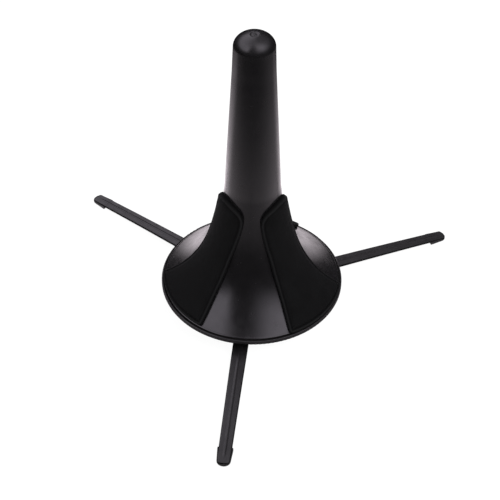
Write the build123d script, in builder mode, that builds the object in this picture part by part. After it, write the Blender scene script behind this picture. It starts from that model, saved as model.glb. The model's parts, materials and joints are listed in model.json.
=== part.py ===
from build123d import *

import os
from math import cos, exp, hypot, radians, sin

# Trumpet stand: a hollow black cone that the bell drops over, on three folding legs.
# Millimetres. The origin is on the cone's axis at floor level, +Z is up and the front leg
# points along -Y. A heading is an angle seen from above: 0 is the front leg (-Y), and it
# turns towards the right leg (+X).

# ---- overall ----
total_height = 172.5
rim_radius = 50.1
leg_reach = 122.0
leg_headings = {"front": 0.0, "right": 119.0, "left": -123.0}
pad_headings = {"right": 59.2, "left": -56.8, "rear": 180.0}

# ---- cone body: dome, tapered column, bell-shaped flare ----
wall = 2.0
flare_top = 79.0
flare_top_radius = 14.77
column_top = 151.0
column_taper = 0.0535
neck_height = 165.5
neck_radius = 10.38
flare_spread = 31.7
flare_length = 20.3
plate_top = 12.4
rim_edge_round = 0.2
bore_foot_inset = 2.8
gate_recess_radius = 2.4
gate_recess_depth = 0.45
gate_nub_radius = 0.7

# ---- base plate and its socket tube ----
plate_bottom = 10.2
socket_radius = 13.0
socket_wall = 2.2
socket_top = 36.0
lip_top_round = 0.8
lip_bottom_round = 0.3
rib_thickness = 1.8
rib_reach = 40.0
rib_rise = 18.0
rib_count = 6
rib_start = 30.0

# ---- base screws and the bosses they bite into ----
screw_ring = 30.0
boss_radius = 3.5
boss_top = 23.4
base_screw_length = 10.0
base_screw_radius = 1.25
base_screw_hole_radius = 1.6
base_screw_head_radius = 2.8
base_screw_head_depth = 1.4
base_screw_cross = (3.0, 0.8)

# ---- pads: foam with a velvet face, stuck on the flare ----
glue_gap = 0.05
foam_thickness = 1.9
velvet_thickness = 0.6
# height and half-angle of each corner of a pad's outline, from the bottom edge up
pad_side = [(12.9, 28.6), (24.0, 27.4), (44.0, 31.4), (61.0, 41.0)]
pad_shoulder = [(66.8, 42.4), (70.5, 40.5), (74.0, 33.4), (76.7, 18.5), (78.0, 5.0)]
pad_outline = pad_side + pad_shoulder
# the same half-angles carried on below and above the pad, so that its ends are cut cleanly
pad_cutter = [(0.0, 28.6)] + pad_outline + [(100.0, 5.0)]
pad_cutter_reach = 75.0
# how far the top of a pad is turned from its foot, towards the next heading
pad_leans = {"right": 4.6, "left": 4.6, "rear": 0.0}

# ---- leg hub ----
pivot_radius = 9.0
pivot_height = 5.4
hub_radius = 17.0
barrel_radius = 12.9
barrel_bore_radius = 10.0
barrel_floor = 16.0
barrel_top = 34.0
barrel_chamfer = 1.0
hub_plate_bottom = 1.5
slot_inner_radius = 6.2
slot_roof = 8.0
slot_reach = 22.0
stop_radius = 13.0
stop_gap = 0.05
ring_section_radius = 0.75
ring_centre_radius = 12.2
ring_height = 27.0
ring_groove_half_height = 0.8
hub_screw_ring = 10.0
hub_screw_radius = 1.0
hub_screw_length = 8.0
hub_screw_head_radius = 2.0
hub_screw_head_depth = 1.6
hub_screw_cross = (2.4, 0.6)
cross_depth = 0.9

# ---- hinge pins ----
pin_radius = 1.2
pin_length = 14.0
pin_play = 0.05

# ---- legs: pressed steel strips with turned-down edges and a raised bead ----
leg_root_half_width = 4.6
leg_tip_half_width = 3.35
leg_side_play = 0.2
# a leg's middle line passes this far to one side of the axis, the same way on all three
leg_sideways = -1.0
leg_sheet = 0.7
leg_root_top = 6.4
leg_root_depth = 1.3
leg_bend_radius = 18.0
leg_middle_radius = 65.0
leg_middle_top = 4.75
leg_tip_top = 1.8
leg_tip_depth = 1.0
leg_tip_round = 1.3
leg_edge_round = 0.45
eye_radius = 2.3
channel_start = 14.0
channel_end = 108.0
bead_half_width = 0.9
bead_rise = 0.3
bead_end_round = 0.7
bead_start = 24.0
bead_end = 118.0

# ---- feet ----
foot_start = 112.3
foot_end = 122.8
foot_start_half_width = 4.1
foot_end_half_width = 3.6
foot_round = 2.4
foot_cover = 0.5

# height and half-width that a leg's cutting solids stand beyond the leg
plan_margin = 10.0

os.makedirs("parts", exist_ok=True)


def top_plane(heading, height=0.0, sideways=0.0):
    """Horizontal plane whose X direction points outward along a heading, moved sideways."""
    outward = (sin(radians(heading)), -cos(radians(heading)), 0)
    origin = (sideways * cos(radians(heading)), sideways * sin(radians(heading)), height)
    return Plane(origin=origin, x_dir=outward, z_dir=(0, 0, 1))


def side_plane(heading, sideways=0.0):
    """Upright plane, X outward along a heading and Y up, moved sideways off the axis."""
    outward = (sin(radians(heading)), -cos(radians(heading)), 0)
    across = (-cos(radians(heading)), -sin(radians(heading)), 0)
    origin = (sideways * cos(radians(heading)), sideways * sin(radians(heading)), 0)
    return Plane(origin=origin, x_dir=outward, z_dir=across)


def on_heading(heading, radius, height):
    """The point at a radius and height along a heading."""
    return (radius * sin(radians(heading)), -radius * cos(radians(heading)), height)


def spots(headings, radius, height):
    """Locations for the same feature on several headings."""
    return [Location(on_heading(heading, radius, height)) for heading in headings]


def between_legs():
    """Headings half-way between neighbouring legs."""
    ordered = sorted(heading % 360 for heading in leg_headings.values())
    return [(a + b) / 2 for a, b in zip(ordered, ordered[1:] + [ordered[0] + 360])]


def column_radius(height):
    """Radius of the straight taper, carried on below the column as the flare's core."""
    return flare_top_radius + column_taper * (flare_top - height)


def flare_radius(height):
    """Outer radius of the flare: the straight taper plus a bell that widens exponentially."""
    bell = exp(-(height - plate_top) / flare_length)
    bell_at_top = exp(-(flare_top - plate_top) / flare_length)
    return column_radius(height) + flare_spread * (bell - bell_at_top)


def above_flare(height, lift):
    """(radius, height) of the flare's profile, moved along its normal by lift."""
    step = 0.01
    slope = (flare_radius(height + step) - flare_radius(height - step)) / (2 * step)
    length = hypot(1, slope)
    return (flare_radius(height) + lift / length, height - lift * slope / length)


def flare_points(lift, bottom, top, count=7):
    """Points of the lifted profile, closer together towards the rim, from the bottom up."""
    heights = [bottom + (top - bottom) * (i / (count - 1)) ** 1.5 for i in range(count)]
    return [above_flare(height, lift) for height in heights]


# ---- cone body ----
bore_top_radius = column_radius(column_top) - wall
dome_height = total_height - neck_height
dome_shoulder = (neck_radius * cos(radians(45)), neck_height + dome_height * sin(radians(45)))
bore_foot_radius = flare_radius(plate_top) - bore_foot_inset
bore_points = flare_points(-wall, plate_top + wall, flare_top)

with BuildPart() as cone_body:
    with BuildSketch(Plane.XZ):
        with BuildLine():
            flare = Spline(*flare_points(0, plate_top, flare_top))
            column = Line(flare @ 1, (column_radius(column_top), column_top))
            neck = Line(column @ 1, (neck_radius, neck_height))
            dome = Spline(neck @ 1, dome_shoulder, (0, total_height), tangents=[(0, 1), (-1, 0)])
            crown = Line(dome @ 1, (0, total_height - wall))
            cap = Line(crown @ 1, (neck_radius - wall, neck_height))
            taper = Polyline(cap @ 1, (bore_top_radius, column_top), bore_points[-1])
            bore = Spline(*reversed(bore_points), (bore_foot_radius, plate_top))
            Line(bore @ 1, flare @ 0)
        make_face()
    revolve(axis=Axis.Z)
    with BuildSketch(Plane.XY.offset(plate_top)):
        with Locations(*spots(between_legs(), screw_ring, 0)):
            Circle(boss_radius)
    extrude(amount=boss_top - plate_top)
    with BuildSketch(Plane.XY.offset(plate_top)):
        with Locations(*spots(between_legs(), screw_ring, 0)):
            Circle(base_screw_radius)
    extrude(amount=base_screw_length - (plate_top - plate_bottom), mode=Mode.SUBTRACT)
    with BuildSketch(Plane.XY.offset(total_height)):
        Circle(gate_recess_radius)
        Circle(gate_nub_radius, mode=Mode.SUBTRACT)
    extrude(amount=-gate_recess_depth, mode=Mode.SUBTRACT)
    foot_edges = cone_body.edges().filter_by(GeomType.CIRCLE).group_by(Axis.Z)[0]
    fillet(foot_edges.sort_by(SortBy.RADIUS)[-1], radius=rim_edge_round)

cone_body.part.label = "cone_body"
export_step(cone_body.part, "parts/cone_body.step")

# ---- base plate: lip ring, socket tube and ribs ----
with BuildPart() as base_plate:
    with BuildSketch(Plane.XZ):
        with BuildLine():
            Polyline(
                (socket_radius, plate_bottom),
                (rim_radius, plate_bottom),
                (rim_radius, plate_top),
                (socket_radius + socket_wall, plate_top),
                (socket_radius + socket_wall, socket_top),
                (socket_radius, socket_top),
                close=True,
            )
        make_face()
    revolve(axis=Axis.Z)
    rim_edges = base_plate.edges().filter_by(GeomType.CIRCLE).sort_by(SortBy.RADIUS)[-2:]
    fillet(rim_edges.sort_by(Axis.Z)[-1], radius=lip_top_round)
    lowest_edges = base_plate.edges().filter_by(GeomType.CIRCLE).group_by(Axis.Z)[0]
    fillet(lowest_edges.sort_by(SortBy.RADIUS)[-1], radius=lip_bottom_round)
    for number in range(rib_count):
        rib_heading = rib_start + number * 360 / rib_count
        with BuildSketch(side_plane(rib_heading)):
            Polygon(
                (socket_radius + socket_wall / 2, plate_top),
                (rib_reach, plate_top),
                (socket_radius + socket_wall / 2, plate_top + rib_rise),
                align=None,
            )
        extrude(amount=rib_thickness / 2, both=True)
    with Locations(*spots(between_legs(), screw_ring, plate_bottom)):
        with Locations(Rotation(180, 0, 0)):
            CounterSinkHole(base_screw_hole_radius, base_screw_head_radius, depth=plate_top - plate_bottom)

base_plate.part.label = "base_plate"
export_step(base_plate.part, "parts/base_plate.step")

# ---- base screws ----
with BuildPart() as base_screws:
    for heading in between_legs():
        x, y, z = on_heading(heading, screw_ring, plate_bottom)
        with BuildSketch(Plane((x, y, z))):
            Circle(base_screw_radius)
        extrude(amount=base_screw_length)
        with BuildSketch(Plane((x, y, z))):
            Circle(base_screw_head_radius)
        with BuildSketch(Plane((x, y, z + base_screw_head_depth))):
            Circle(base_screw_radius)
        loft()
        with BuildSketch(Plane((x, y, z))):
            Rectangle(*base_screw_cross)
            Rectangle(*reversed(base_screw_cross))
        extrude(amount=cross_depth, mode=Mode.SUBTRACT)

base_screws.part.label = "base_screws"
export_step(base_screws.part, "parts/base_screws.step")


# ---- pads: a band over the flare, cut to a pad's outline ----
def pad_layer(heading, lean, lift, thickness):
    """One layer of a pad: lifted off the flare by lift, with the outline's rays as its sides."""
    bottom = pad_outline[0][0]
    top = pad_outline[-1][0]
    with BuildPart() as layer:
        with BuildSketch(side_plane(heading)):
            with BuildLine():
                inner = Spline(*flare_points(lift, bottom, top))
                outer = Spline(*flare_points(lift + thickness, bottom, top))
                Line(inner @ 0, outer @ 0)
                Line(inner @ 1, outer @ 1)
            make_face()
        revolve(axis=Axis.Z)
        for height, half_angle in pad_cutter:
            turn = lean * (min(height, top) - bottom) / (top - bottom)
            with BuildSketch(top_plane(heading + turn, height)):
                out = pad_cutter_reach * cos(radians(half_angle))
                across = pad_cutter_reach * sin(radians(half_angle))
                Polygon((0, 0), (out, -across), (out, across), align=None)
        loft(ruled=True, mode=Mode.INTERSECT)
    return layer.part


for name, heading in pad_headings.items():
    foam = pad_layer(heading, pad_leans[name], glue_gap, foam_thickness)
    foam.label = f"pad_{name}_foam"
    export_step(foam, f"parts/pad_{name}_foam.step")
    velvet = pad_layer(heading, pad_leans[name], glue_gap + foam_thickness, velvet_thickness)
    velvet.label = f"pad_{name}_velvet"
    export_step(velvet, f"parts/pad_{name}_velvet.step")

# ---- leg hub, upper half: slotted disc with a barrel that plugs up the socket ----
slot_half_width = leg_root_half_width + leg_side_play

with BuildPart() as hub_body:
    with BuildSketch(Plane.XY.offset(pivot_height)):
        Circle(hub_radius)
    extrude(amount=plate_bottom - pivot_height)
    with BuildSketch(Plane.XY.offset(plate_bottom)):
        Circle(barrel_radius)
    extrude(amount=barrel_top - plate_bottom)
    chamfer(hub_body.edges().group_by(Axis.Z)[-1], length=barrel_chamfer)
    with BuildSketch(Plane.XY.offset(barrel_floor)):
        Circle(barrel_bore_radius)
    extrude(amount=barrel_top - barrel_floor, mode=Mode.SUBTRACT)
    with BuildSketch(Plane.XY.offset(ring_height - ring_groove_half_height)):
        Circle(barrel_radius)
        Circle(ring_centre_radius - ring_section_radius, mode=Mode.SUBTRACT)
    extrude(amount=2 * ring_groove_half_height, mode=Mode.SUBTRACT)
    for heading in leg_headings.values():
        with BuildSketch(side_plane(heading, leg_sideways)):
            with BuildLine():
                Polyline(
                    (slot_inner_radius, pivot_height),
                    (slot_inner_radius, slot_roof),
                    (stop_radius, slot_roof),
                    (stop_radius, leg_root_top + stop_gap),
                    (slot_reach, leg_root_top + stop_gap),
                    (slot_reach, pivot_height),
                    close=True,
                )
            make_face()
        extrude(amount=slot_half_width, both=True, mode=Mode.SUBTRACT)
        with BuildSketch(side_plane(heading, leg_sideways)):
            with Locations((pivot_radius, pivot_height)):
                Circle(pin_radius)
        extrude(amount=pin_length / 2, both=True, mode=Mode.SUBTRACT)
    with BuildSketch(Plane.XY.offset(pivot_height)):
        with Locations(*spots(between_legs(), hub_screw_ring, 0)):
            Circle(hub_screw_radius)
    extrude(amount=hub_screw_length, mode=Mode.SUBTRACT)

hub_body.part.label = "hub_body"
export_step(hub_body.part, "parts/hub_body.step")

# ---- leg hub, lower half: plate that clamps the hinge pins ----
with BuildPart() as hub_plate:
    with BuildSketch(Plane.XY.offset(hub_plate_bottom)):
        Circle(barrel_radius)
        for heading in leg_headings.values():
            with Locations(top_plane(heading, 0, leg_sideways).location):
                with Locations((slot_inner_radius + slot_reach / 2, 0)):
                    Rectangle(slot_reach, 2 * slot_half_width, mode=Mode.SUBTRACT)
    extrude(amount=pivot_height - hub_plate_bottom)
    for heading in leg_headings.values():
        with BuildSketch(side_plane(heading, leg_sideways)):
            with Locations((pivot_radius, pivot_height)):
                Circle(pin_radius)
        extrude(amount=pin_length / 2, both=True, mode=Mode.SUBTRACT)
    with BuildSketch(Plane.XY.offset(hub_plate_bottom)):
        with Locations(*spots(between_legs(), hub_screw_ring, 0)):
            Circle(hub_screw_radius)
    extrude(amount=pivot_height - hub_plate_bottom, mode=Mode.SUBTRACT)
    with BuildSketch(Plane.XY.offset(hub_plate_bottom)):
        with Locations(*spots(between_legs(), hub_screw_ring, 0)):
            Circle(hub_screw_head_radius)
    extrude(amount=hub_screw_head_depth, mode=Mode.SUBTRACT)

hub_plate.part.label = "hub_plate"
export_step(hub_plate.part, "parts/hub_plate.step")

# ---- hub screws ----
with BuildPart() as hub_screws:
    with BuildSketch(Plane.XY.offset(hub_plate_bottom)):
        with Locations(*spots(between_legs(), hub_screw_ring, 0)):
            Circle(hub_screw_head_radius)
    extrude(amount=hub_screw_head_depth)
    with BuildSketch(Plane.XY.offset(hub_plate_bottom)):
        with Locations(*spots(between_legs(), hub_screw_ring, 0)):
            Circle(hub_screw_radius)
    extrude(amount=hub_screw_length + pivot_height - hub_plate_bottom)
    with BuildSketch(Plane.XY.offset(hub_plate_bottom)):
        with Locations(*spots(between_legs(), hub_screw_ring, 0)):
            Rectangle(*hub_screw_cross)
            Rectangle(*reversed(hub_screw_cross))
    extrude(amount=cross_depth, mode=Mode.SUBTRACT)

hub_screws.part.label = "hub_screws"
export_step(hub_screws.part, "parts/hub_screws.step")

# ---- rubber ring that grips the socket ----
with BuildPart() as hub_ring:
    with BuildSketch(Plane.XZ):
        with Locations((ring_centre_radius, ring_height)):
            Circle(ring_section_radius)
    revolve(axis=Axis.Z)

hub_ring.part.label = "hub_ring"
export_step(hub_ring.part, "parts/hub_ring.step")


# ---- hinge pins, legs and feet ----
def make_pin(heading):
    """A plain steel pin across a hub slot."""
    with BuildPart() as pin:
        with BuildSketch(side_plane(heading, leg_sideways)):
            with Locations((pivot_radius, pivot_height)):
                Circle(pin_radius)
        extrude(amount=pin_length / 2, both=True)
    return pin.part


def leg_half_width(radius):
    """Half-width of a leg strip, tapering from the pivot to the tip."""
    along = (radius - pivot_radius) / (leg_reach - pivot_radius)
    return leg_root_half_width + (leg_tip_half_width - leg_root_half_width) * along


def taper_plan(heading, start, end, half_start, half_end, corner_round):
    """Plan outline of a leg's strip or foot, with rounded outer corners, below the floor."""
    with BuildSketch(top_plane(heading, -plan_margin, leg_sideways)) as plan:
        Polygon((start, half_start), (start, -half_start), (end, -half_end), (end, half_end), align=None)
        fillet(plan.vertices().sort_by(Axis.X)[-2:], radius=corner_round)
    return plan.sketch


def leg_line(root_drop, tip_drop):
    """The leg's arched top line, from the axis to beyond the tip, lowered at its root and tip."""
    flat = Line((0, leg_root_top - root_drop), (leg_bend_radius, leg_root_top - root_drop))
    middle = (leg_middle_radius, leg_middle_top - (root_drop + tip_drop) / 2)
    arch = ThreePointArc(flat @ 1, middle, (leg_reach + 1, leg_tip_top - tip_drop))
    return flat @ 0, arch @ 1


def strip(heading, plan, top_drops, under_drops):
    """A solid with this plan, between two copies of the leg's top line."""
    with BuildPart() as body:
        with BuildSketch(side_plane(heading, leg_sideways)):
            with BuildLine():
                top_root, top_tip = leg_line(*top_drops)
                under_root, under_tip = leg_line(*under_drops)
                Line(top_root, under_root)
                Line(top_tip, under_tip)
            make_face()
        extrude(amount=plan_margin, both=True)
        extrude(plan, amount=2 * plan_margin, mode=Mode.INTERSECT)
    return body.part


def make_leg(heading):
    """A pressed strip with turned-down edges, a raised bead and an eye for the pin."""
    tip_half = leg_half_width(leg_reach)
    plan = taper_plan(heading, pivot_radius, leg_reach, leg_root_half_width, tip_half, leg_tip_round)
    hollow_plan = taper_plan(
        heading,
        channel_start,
        channel_end,
        leg_half_width(channel_start) - leg_sheet,
        leg_half_width(channel_end) - leg_sheet,
        leg_sheet,
    )
    bead_plan = taper_plan(
        heading, bead_start, bead_end, bead_half_width, bead_half_width, bead_end_round
    )
    with BuildPart() as leg:
        add(strip(heading, plan, (0, 0), (leg_root_depth, leg_tip_depth)))
        top_edges = leg.faces().sort_by(SortBy.AREA)[-2:].sort_by(Axis.Z)[-1].edges()
        fillet(top_edges, radius=leg_edge_round)
        add(strip(heading, hollow_plan, (leg_sheet, leg_sheet), (plan_margin, plan_margin)), mode=Mode.SUBTRACT)
        add(strip(heading, bead_plan, (-bead_rise, -bead_rise), (leg_sheet / 2, leg_sheet / 2)))
        with BuildSketch(side_plane(heading, leg_sideways)):
            with Locations((pivot_radius, pivot_height)):
                Circle(eye_radius)
        extrude(amount=leg_root_half_width, both=True)
        with BuildSketch(side_plane(heading, leg_sideways)):
            with Locations((pivot_radius, pivot_height)):
                Circle(pin_radius + pin_play)
        extrude(amount=leg_root_half_width, both=True, mode=Mode.SUBTRACT)
    return leg.part


def make_foot(heading, leg):
    """A rubber wedge moulded under a leg's tip, flat on the floor."""
    plan = taper_plan(
        heading, foot_start, foot_end, foot_start_half_width, foot_end_half_width, foot_round
    )
    with BuildPart() as foot:
        add(strip(heading, plan, (foot_cover, foot_cover), (plan_margin, plan_margin)))
        split(bisect_by=Plane.XY, keep=Keep.TOP)
        add(leg, mode=Mode.SUBTRACT)
    return foot.part


for name, heading in leg_headings.items():
    pin = make_pin(heading)
    pin.label = f"hinge_pin_{name}"
    export_step(pin, f"parts/hinge_pin_{name}.step")
    leg = make_leg(heading)
    leg.label = f"leg_{name}"
    export_step(leg, f"parts/leg_{name}.step")
    foot = make_foot(heading, leg)
    foot.label = f"foot_{name}"
    export_step(foot, f"parts/foot_{name}.step")
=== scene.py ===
import json
from math import atan2, cos, exp, hypot, pi, radians, sin, sqrt

import bpy
import bmesh
import numpy as np
from mathutils import Matrix, Vector, noise


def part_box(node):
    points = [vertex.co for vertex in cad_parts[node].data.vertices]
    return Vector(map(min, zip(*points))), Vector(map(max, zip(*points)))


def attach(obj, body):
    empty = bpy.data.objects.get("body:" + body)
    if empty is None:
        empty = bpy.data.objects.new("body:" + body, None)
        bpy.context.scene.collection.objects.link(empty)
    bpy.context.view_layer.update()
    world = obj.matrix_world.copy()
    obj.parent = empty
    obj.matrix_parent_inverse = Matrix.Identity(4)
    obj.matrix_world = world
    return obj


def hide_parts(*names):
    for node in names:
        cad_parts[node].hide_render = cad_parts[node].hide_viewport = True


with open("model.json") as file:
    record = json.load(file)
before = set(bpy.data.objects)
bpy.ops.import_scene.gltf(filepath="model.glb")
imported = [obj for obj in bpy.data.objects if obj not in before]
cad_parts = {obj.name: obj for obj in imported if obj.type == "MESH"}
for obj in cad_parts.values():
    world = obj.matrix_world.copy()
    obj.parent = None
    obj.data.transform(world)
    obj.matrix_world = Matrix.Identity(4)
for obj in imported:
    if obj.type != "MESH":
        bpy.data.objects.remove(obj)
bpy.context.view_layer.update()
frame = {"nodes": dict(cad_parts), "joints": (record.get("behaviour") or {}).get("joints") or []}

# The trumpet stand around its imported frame. Shapes are worked out in millimetres and written to
# the meshes in metres. A heading is an angle seen from above: 0 is the front leg (-Y), and it
# turns towards the right leg (+X).

METRES = 0.001


# ---------------------------------------------------------------- sizes taken from the frame
def node_box(node):
    """(lowest corner, highest corner) of a CAD node in millimetres."""
    low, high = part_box(node)
    return low / METRES, high / METRES


cone_low, cone_high = node_box("cone_body")
plate_low, plate_high = node_box("base_plate")
pin_low, pin_high = node_box("hinge_pin_front")

PLATE_TOP = cone_low.z
PLATE_BOTTOM = plate_low.z
TOTAL_HEIGHT = cone_high.z
RIM_RADIUS = plate_high.x
PIVOT_HEIGHT = (pin_low.z + pin_high.z) / 2
PIVOT_RADIUS = -(pin_low.y + pin_high.y) / 2
LEG_REACH = -node_box("leg_front")[0].y
FOOT_START = -node_box("foot_front")[1].y
FOOT_END = -node_box("foot_front")[0].y

# each leg's heading, and how far its middle line passes to one side of the axis
leg_places = {}
for joint in frame["joints"]:
    if joint["type"] == "hinge":
        pin_axis, pin_middle = Vector(joint["axis"]), Vector(joint["pos_m"])
        leg_places[joint["child"].removesuffix("_leg")] = (
            atan2(pin_axis.y, pin_axis.x),
            pin_middle.dot(pin_axis) / METRES,
        )

# ---------------------------------------------------------------- the cone's profile
FLARE_TOP = 79.0
FLARE_TOP_RADIUS = 14.77
COLUMN_TAPER = 0.0535
COLUMN_TOP = 151.0
NECK_HEIGHT = 165.5
NECK_RADIUS = 10.38
FLARE_LENGTH = 20.3
FLARE_SPREAD = 31.7
WALL = 2.0
# the rim's flat underside ends RIM_FLAT inside the flare's foot, its rounding is centred RIM_INSET
# inside it, and the flare is followed from RIM_INSET above it
RIM_ROUND = 0.35
RIM_FLAT = 1.2
RIM_INSET = 0.75
GATE_RADIUS = 2.4
GATE_DEPTH = 0.45
GATE_NUB_RADIUS = 0.7


def column_radius(height):
    """Radius of the straight taper, carried on below the column as the flare's core."""
    return FLARE_TOP_RADIUS + COLUMN_TAPER * (FLARE_TOP - height)


def flare_radius(height):
    """Outer radius of the flare."""
    bell = exp(-(height - PLATE_TOP) / FLARE_LENGTH)
    bell_at_top = exp(-(FLARE_TOP - PLATE_TOP) / FLARE_LENGTH)
    return column_radius(height) + FLARE_SPREAD * (bell - bell_at_top)


def flare_normal(height):
    """(outward, upward) parts of the unit normal of the flare's profile."""
    step = 0.01
    slope = (flare_radius(height + step) - flare_radius(height - step)) / (2 * step)
    length = hypot(1, slope)
    return 1 / length, -slope / length


def above_flare(height, lift):
    """(radius, height) of the flare's profile, moved along its normal by lift."""
    out, up = flare_normal(height)
    return flare_radius(height) + lift * out, height + lift * up


def arc(centre, radius, start, end, steps):
    """Points along an arc from one angle to another, in degrees."""
    angles = [radians(start + (end - start) * i / steps) for i in range(steps + 1)]
    return [(centre[0] + radius * cos(a), centre[1] + radius * sin(a)) for a in angles]


def ease(value, start, end):
    """0 before start, 1 after end, smooth between."""
    t = min(1, max(0, (value - start) / (end - start)))
    return t * t * (3 - 2 * t)


# ---------------------------------------------------------------- mesh helpers
def new_object(name, vertices, faces, material, smooth=True):
    """An object from vertices in millimetres."""
    mesh = bpy.data.meshes.new(name)
    mesh.from_pydata([Vector(v) * METRES for v in vertices], [], faces)
    mesh.validate()
    tidy = bmesh.new()
    tidy.from_mesh(mesh)
    bmesh.ops.recalc_face_normals(tidy, faces=tidy.faces)
    tidy.to_mesh(mesh)
    tidy.free()
    mesh.polygons.foreach_set("use_smooth", [smooth] * len(mesh.polygons))
    mesh.materials.append(material)
    piece = bpy.data.objects.new(name, mesh)
    bpy.context.scene.collection.objects.link(piece)
    return piece


def lathe(name, profile, segments, material, wobble):
    """A closed profile turned about Z, uneven by wobble; points on the axis are single vertices."""
    vertices, rings = [], []
    for radius, height in profile:
        if radius < 1e-6:
            rings.append([len(vertices)])
            vertices.append((0, 0, height))
            continue
        ring = []
        for k in range(segments):
            angle = 2 * pi * k / segments
            ring.append(len(vertices))
            shift = wobble * noise.noise(Vector((cos(angle) * 2, sin(angle) * 2, height / 15)))
            vertices.append(((radius + shift) * cos(angle), (radius + shift) * sin(angle), height))
        rings.append(ring)
    faces = []
    for lower, upper in zip(rings, rings[1:]):
        for k in range(segments):
            after = (k + 1) % segments
            if len(lower) == 1:
                faces.append((lower[0], upper[after], upper[k]))
            elif len(upper) == 1:
                faces.append((lower[k], lower[after], upper[0]))
            else:
                faces.append((lower[k], lower[after], upper[after], upper[k]))
    return new_object(name, vertices, faces, material)


def loft(name, sections, material):
    """A closed solid through rings with equal numbers of points, with flat end caps."""
    count = len(sections[0])
    vertices = [point for section in sections for point in section]
    faces = []
    for i in range(len(sections) - 1):
        for k in range(count):
            after = (k + 1) % count
            first, second = i * count, (i + 1) * count
            faces.append((first + k, first + after, second + after, second + k))
    faces.append(tuple(range(count)))
    faces.append(tuple(range((len(sections) - 1) * count, len(sections) * count)))
    return new_object(name, vertices, faces, material)


def outward(heading):
    """Unit vectors of a heading: along it, and across it to the right seen from outside."""
    return Vector((sin(heading), -cos(heading), 0)), Vector((cos(heading), sin(heading), 0))


# ---------------------------------------------------------------- materials
def set_range(mapped, low, high, to_low, to_high):
    """Sets the limits of a Map Range node."""
    for key, number in (
        ("From Min", low),
        ("From Max", high),
        ("To Min", to_low),
        ("To Max", to_high),
    ):
        mapped.inputs[key].default_value = number


def split_reflections(tree, elsewhere, in_reflections):
    """One shader for what reflections see, and another for every other ray."""
    path = tree.nodes.new("ShaderNodeLightPath")
    mix = tree.nodes.new("ShaderNodeMixShader")
    tree.links.new(path.outputs["Is Glossy Ray"], mix.inputs[0])
    tree.links.new(elsewhere, mix.inputs[1])
    tree.links.new(in_reflections, mix.inputs[2])
    return mix.outputs[0]


class Shader:
    """A small builder for one Principled material."""

    def __init__(self, name, color, roughness, metallic=0.0):
        self.material = bpy.data.materials.new(name)
        self.material.use_nodes = True
        self.tree = self.material.node_tree
        self.surface = self.tree.nodes["Principled BSDF"]
        self.surface.inputs["Base Color"].default_value = (*color, 1)
        self.surface.inputs["Roughness"].default_value = roughness
        self.surface.inputs["Metallic"].default_value = metallic
        coordinates = self.tree.nodes.new("ShaderNodeTexCoord")
        self.place = coordinates.outputs["Object"]
        self.facing = coordinates.outputs["Normal"]
        self.normal = None

    def node(self, kind, **settings):
        made = self.tree.nodes.new(kind)
        for key, value in settings.items():
            setattr(made, key, value)
        return made

    def link(self, source, target):
        self.tree.links.new(source, target)

    def stretched(self, scale):
        """The object's coordinates, stretched by a scale for each axis."""
        mapping = self.node("ShaderNodeMapping")
        mapping.inputs["Scale"].default_value = scale
        self.link(self.place, mapping.inputs["Vector"])
        return mapping.outputs["Vector"]

    def measure(self, operation, vector, other=None):
        """A number from a vector: its length, or its dot product with another."""
        node = self.node("ShaderNodeVectorMath", operation=operation)
        self.link(vector, node.inputs[0])
        if other:
            node.inputs[1].default_value = other
        return node.outputs["Value"]

    def upward(self, vector):
        """The vertical part of a vector."""
        return self.measure("DOT_PRODUCT", vector, (0, 0, 1))

    def from_axis(self):
        """Distance from the stand's axis, in metres."""
        return self.measure("LENGTH", self.stretched((1, 1, 0)))

    def noise(self, size_mm, detail=3.0, stretch=None):
        """Noise whose features are about size_mm across."""
        texture = self.node("ShaderNodeTexNoise")
        texture.inputs["Scale"].default_value = 1000.0 / size_mm
        texture.inputs["Detail"].default_value = detail
        self.link(self.stretched(stretch) if stretch else self.place, texture.inputs["Vector"])
        return texture.outputs["Fac"]

    def cells(self, size_mm):
        """Distance to the nearest of scattered points about size_mm apart."""
        texture = self.node("ShaderNodeTexVoronoi")
        texture.inputs["Scale"].default_value = 1000.0 / size_mm
        self.link(self.place, texture.inputs["Vector"])
        return texture.outputs["Distance"]

    def spread(self, value, low, high, to_low=0.0, to_high=1.0):
        """Maps low..high of a value on to another range, clamped."""
        mapped = self.node("ShaderNodeMapRange")
        self.link(value, mapped.inputs["Value"])
        set_range(mapped, low, high, to_low, to_high)
        return mapped.outputs["Result"]

    def times(self, first, second):
        """The product of two values."""
        product = self.node("ShaderNodeMath", operation="MULTIPLY")
        self.link(first, product.inputs[0])
        self.link(second, product.inputs[1])
        return product.outputs[0]

    def mix_color(self, share, first, second):
        """A colour between two, each a colour or an output."""
        mix = self.node("ShaderNodeMix", data_type="RGBA")
        self.link(share, mix.inputs["Factor"])
        for value, target in ((first, mix.inputs[6]), (second, mix.inputs[7])):
            if isinstance(value, tuple):
                target.default_value = (*value, 1)
            else:
                self.link(value, target)
        return mix.outputs[2]

    def color(self, output):
        self.link(output, self.surface.inputs["Base Color"])

    def roughness(self, output):
        self.link(output, self.surface.inputs["Roughness"])

    def specular(self, output):
        self.link(output, self.surface.inputs["Specular IOR Level"])

    def bump(self, height, depth_mm, strength=1.0):
        """Adds one layer of bump on top of those before it."""
        layer = self.node("ShaderNodeBump")
        layer.inputs["Strength"].default_value = strength
        layer.inputs["Distance"].default_value = depth_mm * METRES
        self.link(height, layer.inputs["Height"])
        if self.normal:
            self.link(self.normal, layer.inputs["Normal"])
        self.normal = layer.outputs["Normal"]
        self.link(self.normal, self.surface.inputs["Normal"])

    def edges(self, low, high):
        """1 on convex edges and 0 elsewhere."""
        geometry = self.node("ShaderNodeNewGeometry")
        return self.spread(geometry.outputs["Pointiness"], low, high)


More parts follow.
